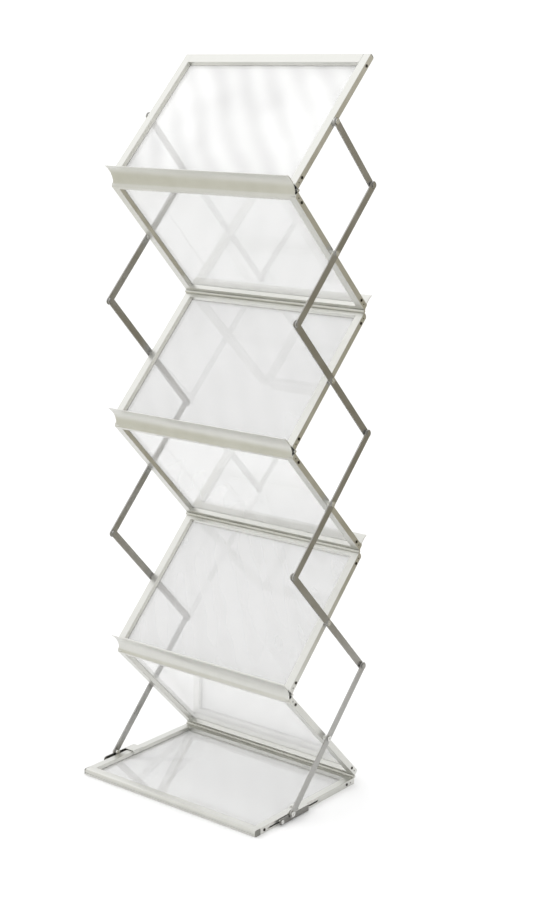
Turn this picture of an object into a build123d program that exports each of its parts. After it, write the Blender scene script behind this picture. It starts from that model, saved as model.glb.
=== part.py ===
from build123d import *
from math import atan2, cos, degrees, hypot, sin, sqrt
import os

# Overall layout, in millimetres: +Z up, the front of the rack towards -Y
PANELS = 6
WIDTH = 458.0               # over the two side rails
AXIS_RUN = 212.0            # front hinge axes to rear hinge axes, horizontally
AXIS_RISE = 240.8           # one hinge axis to the next, vertically
AXIS_OFFSET = 8.5           # hinge axis to the middle of a frame's thickness
AXIS_BASE_Z = 15.0          # lowest hinge axis above the floor

# Frame extrusions
FRAME_THICK = 13.0
RAIL_WIDTH = 16.5
RAIL_WALL = 1.5
RAIL_ROUND = 0.8
HINGE_GAP = 1.0             # hinge axis to the end of a frame
HINGE_RAIL = 10.0           # depth of a hinge rail along the panel
SEAM = 7.5                  # hinge axis to the joint with the side rails
NOSE_CUT = 2.0              # bevel on the display side of a hinge rail
GROOVE_DEPTH = 3.5
SLACK = 0.1                 # sheet to groove, cleat to chamber, each side

# Clear sheets
SHEET_THICK = 2.0
SHEET_RECESS = 9.5          # front face of a frame down to its sheet

# Hinges
KNUCKLES = 15
BARREL_R = 3.25
PIN_R = 1.5
PIN_HEAD_R = 2.4
PIN_HEAD = 0.9
RUNNING = 0.05              # radial clearance of a pin in its hole
KNUCKLE_GAP = 0.2
BARREL_GAP = 0.35

# Brochure lip: middle of its wall, from the hinge axis, along and out of the panel
LIP_WALL = 1.4
LIP_HALF = 226.0
LIP_LINE = [(-1.6, -9.7), (3.5, -5.0), (10.8, -1.4), (19.0, 0.8), (30.4, 0.9), (39.5, -0.9)]
LIP_BEVEL = [(-5.1, -15.0), (-1.0, -10.2)]

# Corner cleats, screws, end pins and top rail
CLEAT_LENGTH = 30.0
CLEAT_INSET = 2.6           # hinge axis to the end of a cleat
SCREW_AT = 23.0             # hinge axis to a frame screw
SCREW_R = 1.9
SCREW_HEAD_R = 3.0
SCREW_HEAD = 0.9
SCREW_LENGTH = 7.0
END_PIN_AT = 11.0           # hinge axis to the pin that keeps a cleat square
END_PIN_R = 1.3
END_PIN_PROUD = 0.3
SOCKET_R = 1.5
TOP_RAIL = 21.5             # depth of the top rail
TOP_REACH = 4.0             # frame end beyond the top axis position
TOP_CAP = 2.0
TOP_SCREW = 21.0

# Scissor bars
BAR_WIDTH = 15.0
BAR_THICK = 2.5
NODE_REACH = 8.5            # bar joint beyond the hinge axes, horizontally
INNER_LAYER = 232.0         # inner faces of the two layers of bars
OUTER_LAYER = 237.0
PLAY = 0.2                  # side play between turning faces
SHANK_R = 3.0
LOOP_PLAY = 1.35            # radial play in the bar-to-bar holes
BOSS_R = 6.0
HEAD_R = 5.5
HEAD_THICK = 2.2
RIVET_HEAD = 1.3
STUD_DEPTH = 9.0
STUD_SOCKET_R = 2.2
SOCKET_DEPTH = 1.2

# Base frame, measured forward from the rear hinge axis
BASE_DEPTH = 322.9
BASE_SEAM = 10.7
BASE_INNER = 14.2
FRONT_RAIL = 15.5
BASE_SCREWS = (27.0, 295.6)
BASE_PIN = 14.5
BASE_RECESS = 7.5
CAP_THICK = 1.5
CAP_ROUND = 3.0
SLOT = (125.0, 286.0)       # slider slot in the outer side of a base rail
SLOT_Z = (4.2, 7.4)

# Sliders
SLIDER_X = (234.7, 236.7)
SLIDER_SPAN = (165.5, 251.0)
SLIDER_Z = (2.0, 15.0)
SLIDER_EAR_R = 8.0
GUIDE_SPAN = (165.5, 194.0)
GUIDE_Z = (13.6, 15.0)
GUIDE_X = (211.0, 212.2)
GUIDE_DROP = 7.0
TONGUE_SPAN = (168.0, 179.0)
TONGUE_Z = (4.4, 6.7)
TONGUE_X = 227.8
LOCK_AT = (250.0, 8.5)
LOCK_R = 2.5
LOCK_HEAD_R = 4.2
NUT_SPAN = (230.4, 234.6)

# Derived positions
SPAN = sqrt(AXIS_RUN ** 2 + AXIS_RISE ** 2 - (2 * AXIS_OFFSET) ** 2)
TILT = atan2(AXIS_RISE, AXIS_RUN) - atan2(2 * AXIS_OFFSET, SPAN)
BACK = AXIS_OFFSET - FRAME_THICK / 2
FACE = AXIS_OFFSET + FRAME_THICK / 2
HALF = WIDTH / 2
INNER = HALF - RAIL_WIDTH
CHAMBER = (INNER + GROOVE_DEPTH + RAIL_WALL, HALF - RAIL_WALL)
LIP_TIP = LIP_LINE[-1]
LIP_REACH = LIP_TIP[0] * cos(TILT) + (LIP_WALL / 2 - LIP_TIP[1]) * sin(TILT)
REAR_Y = (BASE_DEPTH - LIP_REACH) / 2
FRONT_Y = REAR_Y - AXIS_RUN
BAR_RUN = AXIS_RUN + 2 * NODE_REACH
BAR_SPAN = hypot(BAR_RUN, AXIS_RISE)
BAR_TILT = degrees(atan2(AXIS_RISE, BAR_RUN))
CLEAT_SPAN = (CLEAT_INSET, CLEAT_INSET + CLEAT_LENGTH)
SIDES = {"left": -1, "right": 1}
BASE = Plane(origin=(0, REAR_Y, 0), x_dir=(0, -1, 0), z_dir=(-1, 0, 0))


def axis_z(k):
    return AXIS_BASE_Z + k * AXIS_RISE


def panel_plane(k):
    """Section plane of panel k: x up the panel from its lower axis, y out of its display side."""
    lean = 1 if k % 2 == 0 else -1
    start = FRONT_Y if lean > 0 else REAR_Y
    return Plane(
        origin=(0, start, axis_z(k - 1)),
        x_dir=(0, lean * cos(TILT), sin(TILT)),
        z_dir=(lean, 0, 0),
    )


def at_x(plane, x):
    """The same section plane, moved across the rack to x."""
    return plane.offset(x * plane.z_dir.X)


def prism(plane, points, x_from, x_to, mode=Mode.ADD):
    with BuildSketch(at_x(plane, (x_from + x_to) / 2)) as outline:
        Polygon(*points, align=None)
    extrude(outline.sketch, amount=abs(x_to - x_from) / 2, both=True, mode=mode)


def box(plane, along, out, x_from, x_to, mode=Mode.ADD):
    corners = [(along[0], out[0]), (along[1], out[0]), (along[1], out[1]), (along[0], out[1])]
    prism(plane, corners, x_from, x_to, mode)


def rod(plane, centre, radius, x_from, x_to, mode=Mode.ADD):
    with BuildSketch(at_x(plane, (x_from + x_to) / 2)) as outline:
        with Locations(centre):
            Circle(radius)
    extrude(outline.sketch, amount=abs(x_to - x_from) / 2, both=True, mode=mode)


def hex_socket(plane, centre, radius, x_from, x_to):
    with BuildSketch(at_x(plane, (x_from + x_to) / 2)) as outline:
        with Locations(centre):
            RegularPolygon(radius, 6)
    extrude(outline.sketch, amount=abs(x_to - x_from) / 2, both=True, mode=Mode.SUBTRACT)


def knuckles(plane, centre, gaps_from):
    """Hinge barrel with room for the other leaf's knuckles, starting at number gaps_from."""
    pitch = WIDTH / KNUCKLES
    rod(plane, centre, BARREL_R, -HALF, HALF)
    for i in range(gaps_from, KNUCKLES, 2):
        start = i * pitch - HALF
        rod(plane, centre, BARREL_R + BARREL_GAP, start - KNUCKLE_GAP,
            start + pitch + KNUCKLE_GAP, Mode.SUBTRACT)
    rod(plane, centre, PIN_R + RUNNING, -HALF, HALF, Mode.SUBTRACT)


def hinge_pin(plane, centre):
    rod(plane, centre, PIN_R, -HALF, HALF)
    for side in SIDES.values():
        rod(plane, centre, PIN_HEAD_R, side * HALF, side * (HALF + PIN_HEAD))


def side_rail(plane, side, span, out, groove, holes):
    """Hollow side extrusion with a sheet groove; out is its thickness range, holes are (s, radius)."""
    middle = plane.from_local_coords((sum(span) / 2, sum(out) / 2, 0))
    across = Plane(origin=middle, x_dir=-plane.z_dir, z_dir=plane.x_dir)
    turn = -plane.z_dir.X * side
    with BuildSketch(across) as section:
        with Locations((turn * (INNER + RAIL_WIDTH / 2), 0)):
            RectangleRounded(RAIL_WIDTH, FRAME_THICK, RAIL_ROUND)
        with Locations((turn * sum(CHAMBER) / 2, 0)):
            Rectangle(CHAMBER[1] - CHAMBER[0], FRAME_THICK - 2 * RAIL_WALL, mode=Mode.SUBTRACT)
        with Locations((turn * (INNER + GROOVE_DEPTH / 2), (sum(groove) - sum(out)) / 2)):
            Rectangle(GROOVE_DEPTH, groove[1] - groove[0], mode=Mode.SUBTRACT)
    extrude(section.sketch, amount=(span[1] - span[0]) / 2, both=True)
    for s, radius in holes:
        rod(plane, (s, sum(out) / 2), radius + SLACK, side * CHAMBER[1], side * HALF, Mode.SUBTRACT)


def frame_screw(plane, side, s, v):
    tip = HALF - SCREW_LENGTH
    rod(plane, (s, v), SCREW_R, side * tip, side * HALF)
    rod(plane, (s, v), SCREW_HEAD_R, side * HALF, side * (HALF + SCREW_HEAD))
    hex_socket(plane, (s, v), SOCKET_R, side * (HALF + SCREW_HEAD - SOCKET_DEPTH),
               side * (HALF + SCREW_HEAD))


def end_pin(plane, side, s, v):
    rod(plane, (s, v), END_PIN_R, side * (HALF - SCREW_LENGTH), side * (HALF + END_PIN_PROUD))


def cleat(plane, side, span, v, holes):
    """Block inside a side rail that holds it to a cross rail."""
    reach = FRAME_THICK / 2 - RAIL_WALL - SLACK
    box(plane, span, (v - reach, v + reach), side * (CHAMBER[0] + SLACK), side * (CHAMBER[1] - SLACK))
    for s, radius in holes:
        rod(plane, (s, v), radius + SLACK, side * CHAMBER[0], side * CHAMBER[1], Mode.SUBTRACT)


def cleat_pocket(plane, span, v):
    reach = FRAME_THICK / 2 - RAIL_WALL
    for side in SIDES.values():
        box(plane, span, (v - reach, v + reach), side * CHAMBER[0], side * CHAMBER[1], Mode.SUBTRACT)


def bar_layer(k):
    return OUTER_LAYER if k % 2 else INNER_LAYER


def node_point(k):
    """Joint between bar k and bar k + 1, in Y and Z; node 0 is the slider's bolt."""
    y = REAR_Y + NODE_REACH if k % 2 else FRONT_Y - NODE_REACH
    return (y, axis_z(k))


def pivot_stud(plane, side, k):
    """Shouldered stud on panel k that its bar turns on."""
    centre = (SPAN / 2, AXIS_OFFSET)
    seat = bar_layer(k) - PLAY
    head = bar_layer(k) + BAR_THICK + PLAY
    rod(plane, centre, SHANK_R, side * (HALF - STUD_DEPTH), side * head)
    rod(plane, centre, BOSS_R, side * HALF, side * seat)
    rod(plane, centre, HEAD_R, side * head, side * (head + HEAD_THICK))
    hex_socket(plane, centre, STUD_SOCKET_R, side * (head + HEAD_THICK - SOCKET_DEPTH),
               side * (head + HEAD_THICK))


def bar_rivet(side, k):
    """Rivet fixed in the upper end of bar k, loose in bar k + 1."""
    centre = node_point(k)
    own, other = bar_layer(k), bar_layer(k + 1)
    low, high = min(own, other), max(own, other) + BAR_THICK
    rod(Plane.YZ, centre, SHANK_R, side * (low - PLAY), side * (high + PLAY))
    rod(Plane.YZ, centre, BOSS_R, side * (low - PLAY - RIVET_HEAD), side * (low - PLAY))
    rod(Plane.YZ, centre, BOSS_R, side * (high + PLAY), side * (high + PLAY + RIVET_HEAD))
    if own > other:
        rod(Plane.YZ, centre, BOSS_R, side * (other + BAR_THICK + PLAY), side * own)
        rod(Plane.YZ, centre, SHANK_R + RIVET_HEAD, side * own, side * (high + PLAY))
    else:
        rod(Plane.YZ, centre, BOSS_R, side * (own + BAR_THICK), side * (other - PLAY))
        rod(Plane.YZ, centre, SHANK_R + RIVET_HEAD, side * (low - PLAY), side * own)


def scissor_bar(side, k):
    """Flat bar across panel k, from node k - 1 up to node k; the last one stops at its stud."""
    layer = bar_layer(k)
    start, middle = node_point(k - 1), (FRONT_Y + AXIS_RUN / 2, axis_z(k - 0.5))
    whole = k < PANELS
    length = BAR_SPAN if whole else BAR_SPAN / 2
    share = 1 if whole else 0.5
    centre = tuple(start[i] + share * (middle[i] - start[i]) for i in (0, 1))
    angle = BAR_TILT if k % 2 else -BAR_TILT
    with BuildSketch(at_x(Plane.YZ, side * (layer + BAR_THICK / 2))) as outline:
        with Locations(centre):
            SlotCenterToCenter(length, BAR_WIDTH, rotation=angle)
    extrude(outline.sketch, amount=BAR_THICK / 2, both=True)
    ends = (side * layer, side * (layer + BAR_THICK))
    rod(Plane.YZ, middle, SHANK_R + RUNNING, *ends, Mode.SUBTRACT)
    rod(Plane.YZ, start, SHANK_R + (RUNNING if k == 1 else LOOP_PLAY), *ends, Mode.SUBTRACT)
    if whole:
        bar_rivet(side, k)


def save(builder, label):
    builder.part.label = label
    export_step(builder.part, f"parts/{label}.step")


os.makedirs("parts", exist_ok=True)

# Base frame
BASE_OUT = (0.0, FRAME_THICK)
BASE_MID = FRAME_THICK / 2
BASE_SHEET = (FRAME_THICK - BASE_RECESS - SHEET_THICK, FRAME_THICK - BASE_RECESS)
BASE_GROOVE = (BASE_SHEET[0] - SLACK, BASE_SHEET[1] + SLACK)
FRONT_SEAM = BASE_DEPTH - FRONT_RAIL
REAR_CLEAT = (CLEAT_INSET, BASE_SEAM + CLEAT_LENGTH)
FRONT_CLEAT = (FRONT_SEAM - CLEAT_LENGTH, FRONT_SEAM + SEAM)
REAR_HOLES = [(BASE_SCREWS[0], SCREW_R), (BASE_PIN, END_PIN_R)]
FRONT_HOLES = [(BASE_SCREWS[1], SCREW_R)]

for name, side in SIDES.items():
    with BuildPart() as base_side_rail:
        side_rail(BASE, side, (BASE_SEAM, FRONT_SEAM), BASE_OUT, BASE_GROOVE, REAR_HOLES + FRONT_HOLES)
        box(BASE, SLOT, SLOT_Z, side * CHAMBER[1], side * HALF, Mode.SUBTRACT)
    save(base_side_rail, f"base_side_rail_{name}")

with BuildPart() as base_rear_rail:
    box(BASE, (HINGE_GAP, BASE_SEAM), BASE_OUT, -HALF, HALF)
    box(BASE, (BASE_SEAM, BASE_INNER), BASE_OUT, -INNER, INNER)
    box(BASE, (BASE_SEAM, BASE_INNER), BASE_GROOVE, -INNER, INNER, Mode.SUBTRACT)
    cleat_pocket(BASE, (REAR_CLEAT[0] - SLACK, BASE_SEAM), BASE_MID)
    knuckles(BASE, (0, AXIS_BASE_Z), 1)
save(base_rear_rail, "base_rear_rail")

# The front rail has a shadow groove and a sloping top edge
FRONT_LINE = [
    (FRONT_SEAM, 0), (BASE_DEPTH - 1.0, 0), (BASE_DEPTH, 1.0), (BASE_DEPTH, 4.4),
    (BASE_DEPTH - 1.2, 4.4), (BASE_DEPTH - 1.2, 5.8), (BASE_DEPTH, 5.8), (BASE_DEPTH, 8.8),
    (BASE_DEPTH - 2.2, 12.0), (BASE_DEPTH - 5.5, FRAME_THICK), (FRONT_SEAM, FRAME_THICK),
]
with BuildPart() as base_front_rail:
    prism(BASE, FRONT_LINE, -(HALF - CAP_THICK), HALF - CAP_THICK)
    box(BASE, (FRONT_SEAM - GROOVE_DEPTH, FRONT_SEAM), BASE_OUT, -INNER, INNER)
    box(BASE, (FRONT_SEAM - GROOVE_DEPTH, FRONT_SEAM), BASE_GROOVE, -INNER, INNER, Mode.SUBTRACT)
    box(BASE, (FRONT_SEAM + RAIL_WALL, BASE_DEPTH - 2 * RAIL_WALL - 1.0),
        (RAIL_WALL, FRAME_THICK - RAIL_WALL - 1.5), -(HALF - CAP_THICK), HALF - CAP_THICK,
        Mode.SUBTRACT)
    cleat_pocket(BASE, (FRONT_SEAM, FRONT_CLEAT[1] + SLACK), BASE_MID)
save(base_front_rail, "base_front_rail")

with BuildPart() as base_end_caps:
    for side in SIDES.values():
        with BuildSketch(at_x(BASE, side * (HALF - CAP_THICK / 2))) as cap:
            with Locations(((FRONT_SEAM + BASE_DEPTH) / 2, BASE_MID)):
                RectangleRounded(FRONT_RAIL, FRAME_THICK, CAP_ROUND)
        extrude(cap.sketch, amount=CAP_THICK / 2, both=True)
save(base_end_caps, "base_end_caps")

with BuildPart() as base_sheet:
    box(BASE, (BASE_SEAM + SLACK, FRONT_SEAM - SLACK), BASE_SHEET,
        -(INNER + GROOVE_DEPTH - SLACK), INNER + GROOVE_DEPTH - SLACK)
save(base_sheet, "base_sheet")

with BuildPart() as base_fixings:
    for side in SIDES.values():
        cleat(BASE, side, REAR_CLEAT, BASE_MID, REAR_HOLES)
        cleat(BASE, side, FRONT_CLEAT, BASE_MID, FRONT_HOLES)
        for s in BASE_SCREWS:
            frame_screw(BASE, side, s, BASE_MID)
        end_pin(BASE, side, BASE_PIN, BASE_MID)
    hinge_pin(BASE, (0, AXIS_BASE_Z))
save(base_fixings, "base_fixings")

# Panels, from the bottom up
for k in range(1, PANELS + 1):
    plane = panel_plane(k)
    panel = f"panel_{k}"
    top = k == PANELS
    frame_end = SPAN + TOP_REACH if top else SPAN - SEAM
    screws = (SCREW_AT, SPAN - (TOP_SCREW if top else SCREW_AT))
    pins = (END_PIN_AT,) if top else (END_PIN_AT, SPAN - END_PIN_AT)
    holes = [(s, SCREW_R) for s in screws] + [(s, END_PIN_R) for s in pins]
    if k % 2 == 0:
        sheet_out = (FACE - SHEET_RECESS - SHEET_THICK, FACE - SHEET_RECESS)
    else:
        sheet_out = (BACK + SHEET_RECESS, BACK + SHEET_RECESS + SHEET_THICK)
    groove = (sheet_out[0] - SLACK, sheet_out[1] + SLACK)
    top_cleat = (SPAN - CLEAT_LENGTH - CLEAT_INSET, SPAN - (0 if top else CLEAT_INSET))

    for name, side in SIDES.items():
        with BuildPart() as panel_side_rail:
            side_rail(plane, side, (SEAM, frame_end), (BACK, FACE), groove, holes)
            rod(plane, (SPAN / 2, AXIS_OFFSET), SHANK_R + RUNNING, side * CHAMBER[1], side * HALF,
                Mode.SUBTRACT)
        save(panel_side_rail, f"{panel}_side_rail_{name}")

    with BuildPart() as lower_rail:
        nose = [(HINGE_GAP, BACK), (SEAM, BACK), (SEAM, FACE), (HINGE_GAP + NOSE_CUT, FACE),
                (HINGE_GAP, FACE - NOSE_CUT)]
        prism(plane, nose, -HALF, HALF)
        box(plane, (SEAM, HINGE_GAP + HINGE_RAIL), (BACK, FACE), -INNER, INNER)
        box(plane, (SEAM, HINGE_GAP + HINGE_RAIL), groove, -INNER, INNER, Mode.SUBTRACT)
        cleat_pocket(plane, (CLEAT_SPAN[0] - SLACK, SEAM), AXIS_OFFSET)
        knuckles(plane, (0, 0), 0)
    save(lower_rail, f"{panel}_lower_rail")

    with BuildPart() as upper_rail:
        if top:
            start = SPAN + TOP_REACH - TOP_RAIL
            box(plane, (start, SPAN + TOP_REACH), (BACK, FACE), -INNER, INNER)
            box(plane, (start, start + GROOVE_DEPTH), groove, -INNER, INNER, Mode.SUBTRACT)
            box(plane, (start + GROOVE_DEPTH + RAIL_WALL, SPAN + TOP_REACH - RAIL_WALL),
                (BACK + RAIL_WALL, FACE - RAIL_WALL), -INNER, INNER, Mode.SUBTRACT)
        else:
            start = SPAN - HINGE_GAP - HINGE_RAIL
            axis = (SPAN, 2 * AXIS_OFFSET)
            bevel = [(axis[0] + s, axis[1] + v) for s, v in LIP_BEVEL]
            nose = [(SPAN - SEAM, BACK), *bevel, (SPAN - HINGE_GAP, FACE), (SPAN - SEAM, FACE)]
            prism(plane, nose, -HALF, HALF)
            box(plane, (start, SPAN - SEAM), (BACK, FACE), -INNER, INNER)
            box(plane, (start, SPAN - SEAM), groove, -INNER, INNER, Mode.SUBTRACT)
            cleat_pocket(plane, (SPAN - SEAM, top_cleat[1] + SLACK), AXIS_OFFSET)
            with BuildSketch(at_x(plane, 0)) as lip:
                with BuildLine():
                    Polyline(*[(axis[0] + s, axis[1] + v) for s, v in LIP_LINE])
                trace(line_width=LIP_WALL)
            extrude(lip.sketch, amount=LIP_HALF, both=True)
            knuckles(plane, axis, 1)
    save(upper_rail, f"{panel}_upper_rail")

    with BuildPart() as sheet:
        sheet_end = start + GROOVE_DEPTH - SLACK if top else SPAN - SEAM - SLACK
        box(plane, (SEAM + SLACK, sheet_end), sheet_out, -(INNER + GROOVE_DEPTH - SLACK),
            INNER + GROOVE_DEPTH - SLACK)
    save(sheet, f"{panel}_sheet")

    with BuildPart() as fixings:
        for side in SIDES.values():
            for span in (CLEAT_SPAN, top_cleat):
                inside = [hole for hole in holes if span[0] < hole[0] < span[1]]
                cleat(plane, side, span, AXIS_OFFSET, inside)
            for s in screws:
                frame_screw(plane, side, s, AXIS_OFFSET)
            for s in pins:
                end_pin(plane, side, s, AXIS_OFFSET)
            pivot_stud(plane, side, k)
        if not top:
            hinge_pin(plane, (SPAN, 2 * AXIS_OFFSET))
    save(fixings, f"{panel}_fixings")

with BuildPart() as top_end_caps:
    plane = panel_plane(PANELS)
    for side in SIDES.values():
        outline = [(SPAN + TOP_REACH, BACK), (SPAN + TOP_REACH + TOP_CAP, BACK + CAP_ROUND),
                   (SPAN + TOP_REACH + TOP_CAP, FACE - CAP_ROUND), (SPAN + TOP_REACH, FACE)]
        prism(plane, outline, side * INNER, side * HALF)
save(top_end_caps, "top_end_caps")

# Scissor bars
for k in range(1, PANELS + 1):
    for name, side in SIDES.items():
        with BuildPart() as bar:
            scissor_bar(side, k)
        save(bar, f"bar_{k}_{name}")

# Sliders that carry the lowest bars along the base rails
BOLT_Y = AXIS_RUN + NODE_REACH
for name, side in SIDES.items():
    plate = (side * SLIDER_X[0], side * SLIDER_X[1])
    with BuildPart() as slider:
        box(BASE, SLIDER_SPAN, SLIDER_Z, *plate)
        rod(BASE, (SLIDER_SPAN[1], sum(SLIDER_Z) / 2), (SLIDER_Z[1] - SLIDER_Z[0]) / 2, *plate)
        box(BASE, (BOLT_Y - SLIDER_EAR_R, BOLT_Y + SLIDER_EAR_R), (SLIDER_Z[0], AXIS_BASE_Z), *plate)
        rod(BASE, (BOLT_Y, AXIS_BASE_Z), SLIDER_EAR_R, *plate)
        box(BASE, GUIDE_SPAN, GUIDE_Z, side * GUIDE_X[0], side * SLIDER_X[1])
        box(BASE, GUIDE_SPAN, (GUIDE_DROP, GUIDE_Z[1]), side * GUIDE_X[0], side * GUIDE_X[1])
        box(BASE, TONGUE_SPAN, TONGUE_Z, side * TONGUE_X, side * SLIDER_X[1])
        rod(BASE, (BOLT_Y, AXIS_BASE_Z), SHANK_R + RUNNING, *plate, Mode.SUBTRACT)
        rod(BASE, LOCK_AT, LOCK_R + RUNNING, *plate, Mode.SUBTRACT)
    save(slider, f"slider_{name}")

with BuildPart() as slider_bolts:
    head = OUTER_LAYER + BAR_THICK + PLAY
    for side in SIDES.values():
        bolt = (BOLT_Y, AXIS_BASE_Z)
        rod(BASE, bolt, SHANK_R, side * NUT_SPAN[0], side * head)
        rod(BASE, bolt, HEAD_R, side * NUT_SPAN[0], side * NUT_SPAN[1])
        rod(BASE, bolt, HEAD_R, side * head, side * (head + HEAD_THICK))
        hex_socket(BASE, bolt, STUD_SOCKET_R, side * (head + HEAD_THICK - SOCKET_DEPTH),
                   side * (head + HEAD_THICK))
        rod(BASE, LOCK_AT, LOCK_R, side * (HALF + PIN_HEAD), side * SLIDER_X[1])
        rod(BASE, LOCK_AT, LOCK_HEAD_R, side * SLIDER_X[1], side * (SLIDER_X[1] + HEAD_THICK))
        hex_socket(BASE, LOCK_AT, SOCKET_R, side * (SLIDER_X[1] + HEAD_THICK - SOCKET_DEPTH),
                   side * (SLIDER_X[1] + HEAD_THICK))
save(slider_bolts, "slider_bolts")
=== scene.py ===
"""Looks of the folding brochure rack: rounded metal, clear sheets, finishes, studio and camera."""
import math

import bmesh
import bpy
from mathutils import Euler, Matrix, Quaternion, Vector


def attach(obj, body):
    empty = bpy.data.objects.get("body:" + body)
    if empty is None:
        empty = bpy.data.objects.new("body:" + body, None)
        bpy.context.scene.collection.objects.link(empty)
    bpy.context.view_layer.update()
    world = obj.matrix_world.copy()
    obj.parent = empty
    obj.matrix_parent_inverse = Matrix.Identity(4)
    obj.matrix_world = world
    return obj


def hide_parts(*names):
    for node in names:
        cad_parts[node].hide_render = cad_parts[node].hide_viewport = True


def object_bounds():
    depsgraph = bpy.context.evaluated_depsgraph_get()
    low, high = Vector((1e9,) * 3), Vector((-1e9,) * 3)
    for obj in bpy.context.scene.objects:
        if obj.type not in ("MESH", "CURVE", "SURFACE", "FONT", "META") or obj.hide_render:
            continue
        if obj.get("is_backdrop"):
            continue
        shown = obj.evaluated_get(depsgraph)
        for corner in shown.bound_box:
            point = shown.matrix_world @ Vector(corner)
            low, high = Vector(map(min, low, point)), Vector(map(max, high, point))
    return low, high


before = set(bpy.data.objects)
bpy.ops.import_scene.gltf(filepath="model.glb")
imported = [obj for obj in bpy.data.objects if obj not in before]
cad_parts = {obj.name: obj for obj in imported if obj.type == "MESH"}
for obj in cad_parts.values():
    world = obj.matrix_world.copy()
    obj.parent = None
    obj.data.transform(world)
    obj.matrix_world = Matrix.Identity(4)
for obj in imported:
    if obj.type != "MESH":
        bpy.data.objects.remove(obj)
CAD_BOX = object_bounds()

PANELS = 6
LEAN = math.radians(45.6)          # panels above the horizontal
BAR_LEAN = math.radians(46.4)

# Rounding of cut edges, in metres
EDGE = 0.00035
FIXING_EDGE = 0.0002
BOLT_EDGE = 0.0003
SHARP = math.radians(30)           # only edges sharper than this are rounded
COPLANAR = math.radians(0.5)       # faces closer than this are one face
WELD = 1e-6

# Where finishes change, in metres
GUIDE_REACH = 0.2345               # a slider's guide is inside this
GUIDE_FOOT = 0.0068                # and above this
WALL_REACH = 0.2127                # the inner wall of a side rail is inside this
SCREW_SPAN = 0.009                 # frame screws are shorter than this, the other fixings longer

# Grain of the metal, in lines per metre along and across a piece
GRAIN_ALONG, GRAIN_ACROSS = 14, 2600
RELIEF = 0.0002                    # height of bump patterns, in metres

# Clear sheets, whose grey and bands are painted reflection and shade
ACRYLIC_IOR = 1.49
BAND_ACROSS, BAND_UP = 0.753, 0.657   # slant of the bands on a sheet
WARMTH = 0.995                     # blue in the sheets' grey, against red and green


# ---------- node helpers ----------

def new_material(name):
    material = bpy.data.materials.new(name)
    material.use_nodes = True
    tree = material.node_tree
    shader = tree.nodes["Principled BSDF"]
    return material, tree, shader


def add(tree, kind, **values):
    """A node with its properties and its unlinked inputs set by name."""
    node = tree.nodes.new(kind)
    for key, value in values.items():
        if key in node.inputs:
            node.inputs[key].default_value = value
        else:
            setattr(node, key, value)
    return node


def object_place(tree):
    return add(tree, "ShaderNodeTexCoord").outputs["Object"]


def dot(tree, vector, direction):
    node = add(tree, "ShaderNodeVectorMath", operation="DOT_PRODUCT")
    node.inputs[1].default_value = direction
    tree.links.new(vector, node.inputs[0])
    return node.outputs["Value"]


def combine(tree, operation, *values):
    """A math node on sockets and plain numbers."""
    node = add(tree, "ShaderNodeMath", operation=operation)
    for socket, value in zip(node.inputs, values):
        if isinstance(value, float):
            socket.default_value = value
        else:
            tree.links.new(value, socket)
    return node.outputs["Value"]


def grain_vector(tree, turn, stretch):
    """Object coordinates turned about X, so that Y runs along the piece, then stretched."""
    turned = add(tree, "ShaderNodeVectorRotate", rotation_type="X_AXIS", Angle=turn)
    scaled = add(tree, "ShaderNodeMapping", Scale=stretch)
    tree.links.new(object_place(tree), turned.inputs["Vector"])
    tree.links.new(turned.outputs["Vector"], scaled.inputs["Vector"])
    return scaled.outputs["Vector"]


def remap(tree, value, low, high, from_low=0.3, from_high=0.7):
    """The value's range, by default the middle of a noise, stretched to low and high."""
    node = add(tree, "ShaderNodeMapRange")
    node.inputs["From Min"].default_value = from_low
    node.inputs["From Max"].default_value = from_high
    node.inputs["To Min"].default_value = low
    node.inputs["To Max"].default_value = high
    tree.links.new(value, node.inputs["Value"])
    return node.outputs["Result"]


def shade_of(tree, value, dark, light, light_from=0.7):
    """A colour that goes from dark, up to a value of 0.3, to light, from light_from on."""
    ramp = add(tree, "ShaderNodeValToRGB")
    ramp.color_ramp.elements[0].color = (*dark, 1)
    ramp.color_ramp.elements[1].color = (*light, 1)
    ramp.color_ramp.elements[0].position = 0.3
    ramp.color_ramp.elements[1].position = light_from
    tree.links.new(value, ramp.inputs["Fac"])
    return ramp.outputs["Color"]


def emboss(tree, shader, height, strength):
    """The shader's surface gets a fine bump."""
    bump = add(tree, "ShaderNodeBump", Strength=strength, Distance=RELIEF)
    tree.links.new(height, bump.inputs["Height"])
    tree.links.new(bump.outputs["Normal"], shader.inputs["Normal"])


def blend(tree, factor, first, second):
    """The surface goes from the first shader to the second as the factor rises."""
    either = add(tree, "ShaderNodeMixShader")
    tree.links.new(factor, either.inputs["Fac"])
    tree.links.new(first.outputs["BSDF"], either.inputs[1])
    tree.links.new(second.outputs["BSDF"], either.inputs[2])
    tree.links.new(either.outputs["Shader"], tree.nodes["Material Output"].inputs["Surface"])


# ---------- materials ----------

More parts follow.
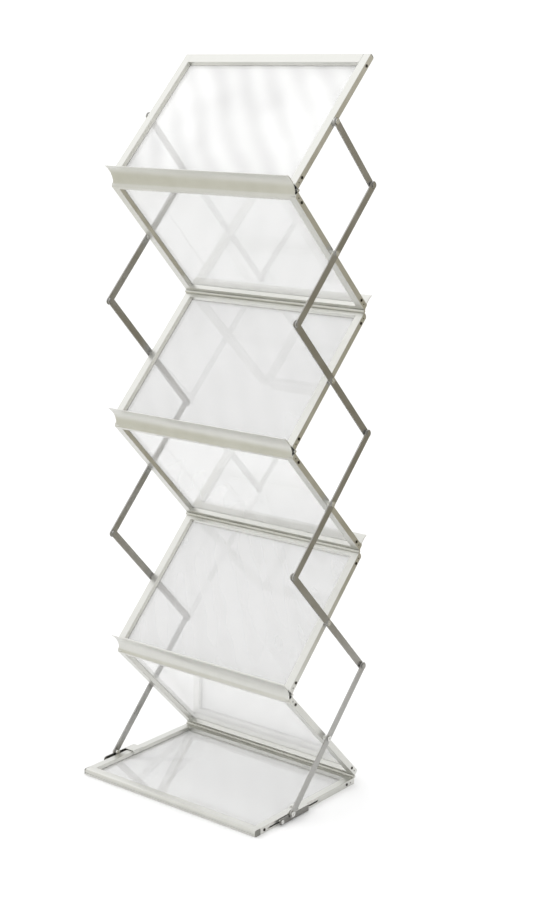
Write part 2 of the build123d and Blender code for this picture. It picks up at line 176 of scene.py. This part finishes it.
def brushed_metal(name, dark, light, rough, turn, along="Y", metallic=1.0, grain=0.06):
    """Metal with fine lines along one direction, soft marks and a slightly uneven gloss."""
    material, tree, shader = new_material(name)
    shader.inputs["Metallic"].default_value = metallic
    stretch = ((GRAIN_ALONG, GRAIN_ACROSS, GRAIN_ACROSS) if along == "X"
               else (GRAIN_ACROSS, GRAIN_ALONG, GRAIN_ACROSS))
    lines = add(tree, "ShaderNodeTexNoise", Scale=1.0, Detail=3.0, Roughness=0.6)
    tree.links.new(grain_vector(tree, turn, stretch), lines.inputs["Vector"])
    marks = add(tree, "ShaderNodeTexNoise", Scale=22.0, Detail=4.0, Roughness=0.55)
    tree.links.new(object_place(tree), marks.inputs["Vector"])
    tree.links.new(shade_of(tree, marks.outputs["Fac"], dark, light), shader.inputs["Base Color"])
    gloss = remap(tree, marks.outputs["Fac"], rough - 0.05, rough + 0.06)
    tree.links.new(gloss, shader.inputs["Roughness"])
    emboss(tree, shader, lines.outputs["Fac"], grain)
    return material


def clear_acrylic(name, dark, light, clear, lean):
    """Clear sheet with painted reflection and shade: a grey set for how the sheet faces the light,
    varied by blotches, slanting bands and a brighter stripe.

    Shadow and reflected rays pass through it.
    """
    material, tree, shader = new_material(name)
    shader.inputs["Transmission Weight"].default_value = clear
    shader.inputs["IOR"].default_value = ACRYLIC_IOR
    place = object_place(tree)
    flat = add(tree, "ShaderNodeCombineXYZ")
    for axis, across, up in (("X", BAND_ACROSS, BAND_UP), ("Y", BAND_UP, -BAND_ACROSS)):
        direction = (across, up * math.cos(lean), up * math.sin(lean))
        tree.links.new(dot(tree, place, direction), flat.inputs[axis])
    bands = add(tree, "ShaderNodeTexWave", Scale=6.0, Distortion=3.0, Detail=1.0)
    bands.inputs["Detail Scale"].default_value = 0.6
    smears = add(tree, "ShaderNodeTexNoise", Scale=7.0, Detail=1.5, Roughness=0.4)
    reflection_streak = add(tree, "ShaderNodeTexWave", bands_direction="Y", Scale=0.9, Distortion=0.4)
    reflection_streak.inputs["Phase Offset"].default_value = 1.3
    for texture in (bands, smears, reflection_streak):
        tree.links.new(flat.outputs["Vector"], texture.inputs["Vector"])
    painted_sheen = smears.outputs["Fac"]
    for texture, share in ((bands, 0.3), (reflection_streak, 0.25)):
        painted_sheen = combine(tree, "MULTIPLY_ADD", texture.outputs["Fac"], share, painted_sheen)
    # Painted reflection and shade: the sheet's grey follows the blotches, bands and stripe
    grey = shade_of(tree, painted_sheen, (dark, dark, dark * WARMTH), (light, light, light * WARMTH), 1.0)
    tree.links.new(grey, shader.inputs["Base Color"])
    tree.links.new(remap(tree, smears.outputs["Fac"], 0.01, 0.04), shader.inputs["Roughness"])
    rays = add(tree, "ShaderNodeLightPath").outputs
    passing = combine(tree, "MAXIMUM", rays["Is Shadow Ray"], rays["Is Reflection Ray"])
    blend(tree, passing, shader, add(tree, "ShaderNodeBsdfTransparent"))
    return material


def moulded_plastic(name, dark, light):
    """Plastic with uneven colour and fine pores."""
    material, tree, shader = new_material(name)
    shader.inputs["Specular IOR Level"].default_value = 0.4
    pores = add(tree, "ShaderNodeTexNoise", Scale=900.0, Detail=2.0)
    blotches = add(tree, "ShaderNodeTexNoise", Scale=60.0, Detail=3.0)
    place = object_place(tree)
    for noise in (pores, blotches):
        tree.links.new(place, noise.inputs["Vector"])
    colour = shade_of(tree, blotches.outputs["Fac"], dark, light)
    tree.links.new(colour, shader.inputs["Base Color"])
    tree.links.new(remap(tree, pores.outputs["Fac"], 0.45, 0.6), shader.inputs["Roughness"])
    emboss(tree, shader, pores.outputs["Fac"], 0.15)
    return material


# Each finish goes from a dark to a light shade, in linear colour
ALU = ((0.61, 0.61, 0.58), (0.66, 0.66, 0.63))
# A paler copy of the anodising, for painted light on the inner walls above the sheets
LIT_WALL_ALU = ((0.58, 0.58, 0.54), (0.63, 0.63, 0.59))
STEEL = ((0.37, 0.365, 0.35), (0.42, 0.415, 0.40))
BRIGHT = ((0.62, 0.62, 0.60), (0.74, 0.74, 0.72))
# Painted shade of recessed screw holes, on the screws and end pins
HOLE_SHADE = ((0.05, 0.045, 0.04), (0.09, 0.08, 0.07))
DULL_STEEL = ((0.20, 0.195, 0.18), (0.26, 0.255, 0.24))
CAP_GREY = ((0.17, 0.17, 0.15), (0.21, 0.21, 0.185))

across_metal = brushed_metal("anodised_across", *ALU, 0.37, 0.0, "X")
up_back_metal = brushed_metal("anodised_up_back", *ALU, 0.37, -LEAN)
up_front_metal = brushed_metal("anodised_up_front", *ALU, 0.37, LEAN)
flat_metal = brushed_metal("anodised_level", *ALU, 0.37, 0.0)
lit_wall_metal = brushed_metal("anodised_inside_painted_light", *LIT_WALL_ALU, 0.5, -LEAN, metallic=0.25)
bar_back_metal = brushed_metal("steel_up_back", *STEEL, 0.36, -BAR_LEAN, grain=0.1)
bar_front_metal = brushed_metal("steel_up_front", *STEEL, 0.36, BAR_LEAN, grain=0.1)
slider_metal = brushed_metal("steel_level", *DULL_STEEL, 0.34, 0.0, grain=0.1)
fixing_metal = brushed_metal("bright_zinc", *BRIGHT, 0.28, 0.0, grain=0.03)
hole_shade_screw_metal = brushed_metal("screws_painted_hole_shade", *HOLE_SHADE, 0.3, 0.0, grain=0.03)
# Each sheet's grey is painted shade, one copy for each way a sheet faces the light; the top
# sheet's wider range is painted reflection
face_down_shaded_acrylic = clear_acrylic("clear_acrylic_face_down_painted_shade", 0.78, 0.82, 0.74, -LEAN)
face_up_shaded_acrylic = clear_acrylic("clear_acrylic_face_up_painted_shade", 0.68, 0.72, 0.70, LEAN)
top_reflection_acrylic = clear_acrylic("clear_acrylic_top_painted_reflection", 0.67, 0.86, 0.58, LEAN)
base_shaded_acrylic = clear_acrylic("clear_acrylic_base_painted_shade", 0.67, 0.70, 0.75, 0.0)
cap_plastic = moulded_plastic("grey_plastic", *CAP_GREY)


# ---------- pieces in place of the CAD nodes ----------

def rounded(node, material, slot, body, edge=EDGE):
    """A copy of a CAD node with its cut edges rounded, shown in its place."""
    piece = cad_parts[node].copy()
    piece.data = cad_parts[node].data.copy()
    for key in list(piece.keys()):
        del piece[key]
    piece.name = f"{node}_metal" if slot != "grey_cap" else f"{node}_moulding"
    piece.parent = None
    bpy.context.scene.collection.objects.link(piece)
    shape = bmesh.new()
    shape.from_mesh(piece.data)
    bmesh.ops.remove_doubles(shape, verts=shape.verts, dist=WELD)
    bmesh.ops.dissolve_limit(shape, angle_limit=COPLANAR, verts=shape.verts, edges=shape.edges)
    cut = [e for e in shape.edges if len(e.link_faces) == 2 and e.calc_face_angle(0) > SHARP]
    bmesh.ops.bevel(shape, geom=cut, offset=edge, segments=2, profile=0.5, affect="EDGES",
                    clamp_overlap=True)
    shape.to_mesh(piece.data)
    shape.free()
    piece.data.shade_smooth()
    piece.data.set_sharp_from_angle(angle=SHARP)
    weighted = piece.modifiers.new("even_normals", "WEIGHTED_NORMAL")
    weighted.keep_sharp = True
    piece.data.materials.clear()
    piece.data.materials.append(material)
    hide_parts(node)
    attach(piece, body)
    return piece


def islands(shape):
    """The separate closed shells of a mesh, as lists of faces."""
    left = set(shape.faces)
    while left:
        shell, waiting = [], [left.pop()]
        while waiting:
            face = waiting.pop()
            shell.append(face)
            for edge in face.edges:
                for other in edge.link_faces:
                    if other in left:
                        left.remove(other)
                        waiting.append(other)
        yield shell


def add_fixings(node, body):
    """A set of fixings whose short parts, the screws and end pins, are dark: painted shade of
    recessed holes.
    """
    piece = rounded(node, fixing_metal, "bright_fixings", body, FIXING_EDGE)
    piece.data.materials.append(hole_shade_screw_metal)
    shape = bmesh.new()
    shape.from_mesh(piece.data)
    for shell in islands(shape):
        across = [v.co.x for face in shell for v in face.verts]
        if max(across) - min(across) < SCREW_SPAN:
            for face in shell:
                face.material_index = 1
    shape.to_mesh(piece.data)
    shape.free()


def finish_inside(piece, material, reach, foot=0.0):
    """Faces nearer the middle than reach, and above foot, get another finish."""
    piece.data.materials.append(material)
    for face in piece.data.polygons:
        if abs(face.center.x) < reach and face.center.z > foot:
            face.material_index = 1


def keep(node, material):
    """A CAD node shown as it is."""
    mesh_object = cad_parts[node]
    mesh_object.data.materials.clear()
    mesh_object.data.materials.append(material)


for side in ("left", "right"):
    rounded(f"base_side_rail_{side}", flat_metal, "frame_aluminium", "base")
    slider = rounded(f"slider_{side}", slider_metal, "bar_steel", "sliders")
    finish_inside(slider, flat_metal, GUIDE_REACH, GUIDE_FOOT)
for rail in ("base_rear_rail", "base_front_rail"):
    rounded(rail, across_metal, "frame_aluminium", "base")
rounded("base_end_caps", cap_plastic, "grey_cap", "base")
rounded("top_end_caps", cap_plastic, "grey_cap", f"panel_{PANELS}")
keep("base_sheet", base_shaded_acrylic)
add_fixings("base_fixings", "base")
rounded("slider_bolts", fixing_metal, "bright_fixings", "sliders", BOLT_EDGE)

for k in range(1, PANELS + 1):
    body = f"panel_{k}"
    leans_back = k % 2 == 0
    if leans_back:
        rail_metal, bar_metal, acrylic = up_back_metal, bar_front_metal, face_up_shaded_acrylic
    else:
        rail_metal, bar_metal, acrylic = up_front_metal, bar_back_metal, face_down_shaded_acrylic
    for side in ("left", "right"):
        side_rail = rounded(f"{body}_side_rail_{side}", rail_metal, "frame_aluminium", body)
        # Inner walls above the sheet get painted light: a paler, less metallic copy of the
        # anodising
        if leans_back:
            finish_inside(side_rail, lit_wall_metal, WALL_REACH)
        rounded(f"bar_{k}_{side}", bar_metal, "bar_steel", f"bars_{k}")
    for rail in ("lower_rail", "upper_rail"):
        rounded(f"{body}_{rail}", across_metal, "frame_aluminium", body)
    add_fixings(f"{body}_fixings", body)
    keep(f"{body}_sheet", top_reflection_acrylic if k == PANELS else acrylic)


# ---------- studio ----------

FLOOR_HALF = 14.0
SURROUND_HALF = 2.9                # half the width of a surround
SURROUND_SOLID = 1.3               # from here outwards its sides fade
SURROUND_FADE = 0.35               # depth of the fade at its near edge
SURROUND_LIFT = 0.004              # clear of the floor
WALL_SOLID = 0.6                   # share of a wall's height below its fade
ROOM_LIGHT, ROOM_BRIGHTEST = 1.09, 1.5
BRIGHT_SIDE = (-0.62, 0.10, 0.78)  # where the room is brightest


def plane_piece(name, corners, material):
    mesh = bpy.data.meshes.new(name)
    mesh.from_pydata(corners, [], [tuple(range(len(corners)))])
    mesh.materials.append(material)
    piece = bpy.data.objects.new(name, mesh)
    bpy.context.scene.collection.objects.link(piece)
    piece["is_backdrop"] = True
    return piece


floor_material, _, floor_shader = new_material("pale_floor")
floor_shader.inputs["Base Color"].default_value = (0.93, 0.93, 0.93, 1)
floor_shader.inputs["Roughness"].default_value = 0.9
floor_shader.inputs["Specular IOR Level"].default_value = 0.1
plane_piece("studio_floor",
            [(x * FLOOR_HALF, y * FLOOR_HALF, 0) for x, y in ((-1, -1), (1, -1), (1, 1), (-1, 1))],
            floor_material)


def surround_material(name, low, high, heading, near, top):
    """A glow that goes from the low to the high shade with height, and fades out at its edges."""
    material, tree, shader = new_material(name)
    shader.inputs["Base Color"].default_value = (0, 0, 0, 1)
    shader.inputs["Specular IOR Level"].default_value = 0.0
    shader.inputs["Emission Strength"].default_value = 1.0
    east, north = heading
    place = object_place(tree)
    split = add(tree, "ShaderNodeSeparateXYZ")
    tree.links.new(place, split.inputs["Vector"])
    height = split.outputs["Z"]
    rise = remap(tree, height, 0.0, 1.0, 0.8, 2.0)
    tree.links.new(shade_of(tree, rise, low, high), shader.inputs["Emission Color"])
    off_centre = combine(tree, "ABSOLUTE", dot(tree, place, (north, -east, 0)))
    solid = remap(tree, dot(tree, place, (east, north, 0)), 0.0, 1.0, near, near + SURROUND_FADE)
    for value, start, end in ((off_centre, SURROUND_SOLID, SURROUND_HALF),
                              (height, WALL_SOLID * top, top)):
        solid = combine(tree, "MULTIPLY", solid, remap(tree, value, 1.0, 0.0, start, end))
    blend(tree, solid, add(tree, "ShaderNodeBsdfTransparent"), shader)
    return material


def surround(name, low, high, heading, near, far, top):
    """A glowing floor from near to far in one direction from the rack, and a wall at its end: a
    painted reflection.

    Only reflections see it.
    """
    east, north = heading
    material = surround_material(name, low, high, heading, near, top)

    def point(away, along, z):
        return (east * away + north * along, north * away - east * along, z)

    for part, inner, outer, upper in (("ground", near, far, SURROUND_LIFT),
                                      ("wall", far, far, top)):
        card = plane_piece(f"{name}_{part}",
                           [point(inner, -SURROUND_HALF, SURROUND_LIFT),
                            point(inner, SURROUND_HALF, SURROUND_LIFT),
                            point(outer, SURROUND_HALF, upper),
                            point(outer, -SURROUND_HALF, upper)], material)
        for ray in ("camera", "diffuse", "transmission", "shadow", "volume_scatter"):
            setattr(card, f"visible_{ray}", False)


# Glowing cards that paint darker reflections on the metal: olive from behind on the right, cream
# from in front on the left
surround("olive_reflection_glow", (0.42, 0.385, 0.29), (0.80, 0.76, 0.66), (0.62, 0.78), 0.85, 3.0, 3.6)
surround("cream_reflection_glow", (0.80, 0.785, 0.68), (1.0, 0.99, 0.97), (-0.62, -0.78), 0.7, 3.2, 1.9)

# An even white room, brighter towards the upper left
world = bpy.data.worlds.new("studio")
bpy.context.scene.world = world
world.use_nodes = True
room = world.node_tree
background = room.nodes["Background"]
background.inputs["Color"].default_value = (1, 1, 1, 1)
skyward = add(room, "ShaderNodeTexCoord").outputs["Generated"]
towards_bright = dot(room, skyward, Vector(BRIGHT_SIDE).normalized())
room.links.new(remap(room, towards_bright, ROOM_LIGHT, ROOM_BRIGHTEST, 0.74, 1.0),
               background.inputs["Strength"])

# One large softbox to the front left, for the shadow under the rack
softbox_light = bpy.data.lights.new("softbox", "AREA")
softbox_light.shape = "RECTANGLE"
softbox_light.size = softbox_light.size_y = 2.6
softbox_light.energy = 14
softbox = bpy.data.objects.new("softbox", softbox_light)
softbox.location = (-1.9, -1.4, 3.3)
softbox.rotation_mode = "QUATERNION"
softbox.rotation_quaternion = (Vector((0, 0, 0.7)) - softbox.location).to_track_quat("-Z", "Y")
softbox.visible_glossy = False
bpy.context.scene.collection.objects.link(softbox)

# ---------- camera ----------

CAMERA_TURN, CAMERA_TIP, CAMERA_ROLL = (math.radians(a) for a in (38.673, -12.783, 0.447))
camera_data = bpy.data.cameras.new("camera")
camera_data.lens = 65.8
camera_data.sensor_width = 36.0
camera = bpy.data.objects.new("camera", camera_data)
camera.location = (2.0559, -2.4336, 1.4177)
camera.rotation_mode = "QUATERNION"
level = Euler((math.pi / 2 + CAMERA_TIP, 0, CAMERA_TURN)).to_quaternion()
camera.rotation_quaternion = level @ Quaternion((0, 0, 1), CAMERA_ROLL)
bpy.context.scene.collection.objects.link(camera)
bpy.context.scene.camera = camera
bpy.context.scene.view_settings.view_transform = "Standard"

boxes = {"cad": CAD_BOX, "visual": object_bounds()}
sizes = {name: [list(corner) for corner in box] for name, box in boxes.items()}
